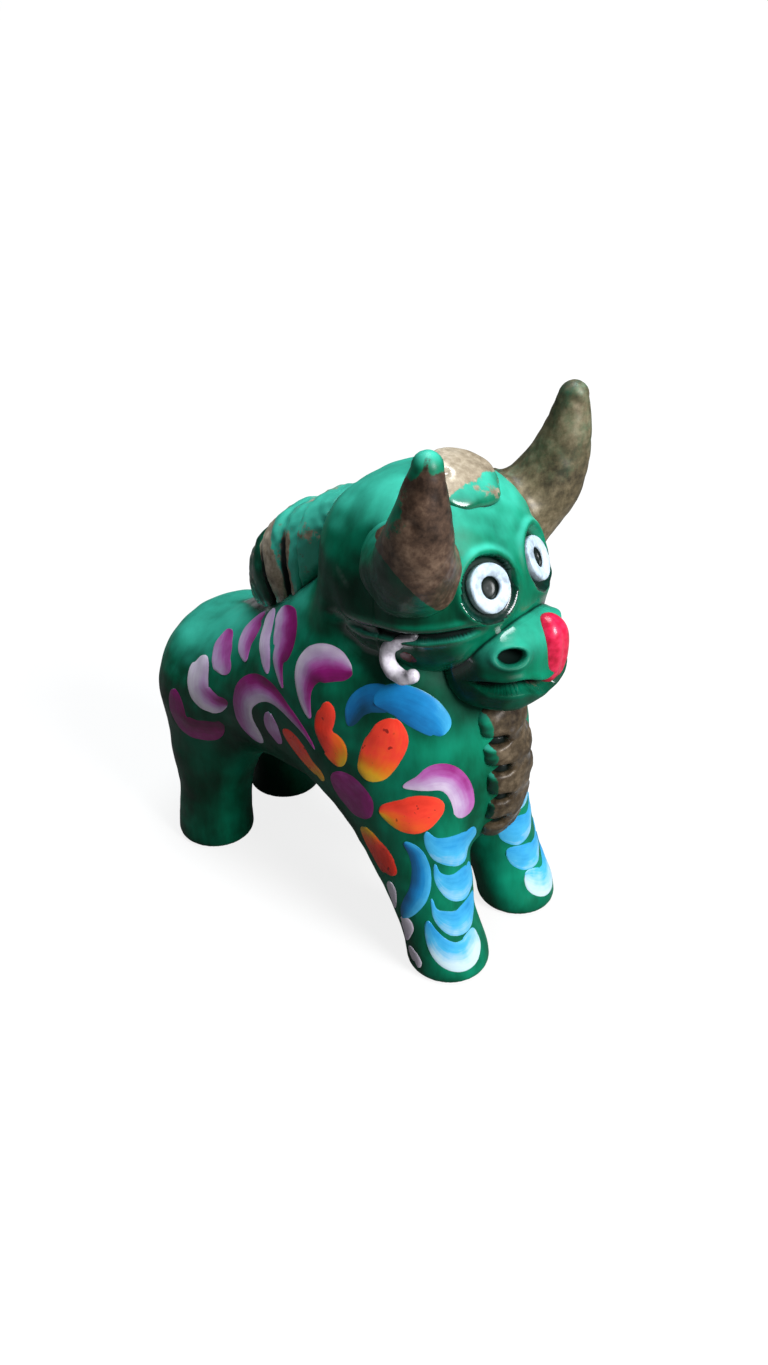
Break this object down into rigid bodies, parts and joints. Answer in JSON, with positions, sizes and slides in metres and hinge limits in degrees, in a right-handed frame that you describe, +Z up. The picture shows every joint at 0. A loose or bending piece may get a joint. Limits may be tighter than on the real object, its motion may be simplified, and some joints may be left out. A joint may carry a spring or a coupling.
{
  "type": "clay bull figurine",
  "caption": "Small hand-built clay bull with pleated hump, stamped ring eyes, upturned horns and a tongue on its nose, painted green with flowers; stands on flat feet as an ornament.",
  "frame": {"origin": "on the ground under the middle of the bounding box, between the four feet", "axes": "+Z up, the bull looks along -Y, its left side is +X"},
  "size_m": [0.036, 0.0646, 0.0743],
  "materials": {
    "green_clay": "glossy dark green paint under varnish, with brushed flowers",
    "green_legs": "glossy dark green paint under varnish, front legs with blue scallops",
    "green_head": "glossy green paint under varnish",
    "green_muzzle": "glossy green paint under varnish",
    "green_crest": "green paint with worn bronze on the pleats",
    "bronze_horn": "bronze paint worn through to green",
    "bronze_forelock": "bronze paint worn through to green",
    "bronze_dewlap": "dark bronze paint worn through to green",
    "bronze_tail": "bronze paint worn through to green",
    "white_eye": "white paint under varnish, dark pupil",
    "white_ear": "white paint under varnish",
    "red_tongue": "red paint under varnish"
  },
  "bodies": {
    "root": {"torso": "green_clay", "leg_front_left": "green_legs", "leg_front_right": "green_legs", "leg_rear_left": "green_legs", "leg_rear_right": "green_legs", "head": "green_head", "muzzle": "green_muzzle", "horn_left": "bronze_horn", "horn_right": "bronze_horn", "eye_left": "white_eye", "eye_right": "white_eye", "ear_left": "white_ear", "ear_right": "white_ear", "tongue": "red_tongue", "mane_crest": "green_crest", "dewlap": "bronze_dewlap", "forelock": "bronze_forelock", "tail": "bronze_tail"}
  },
  "joints": []
}
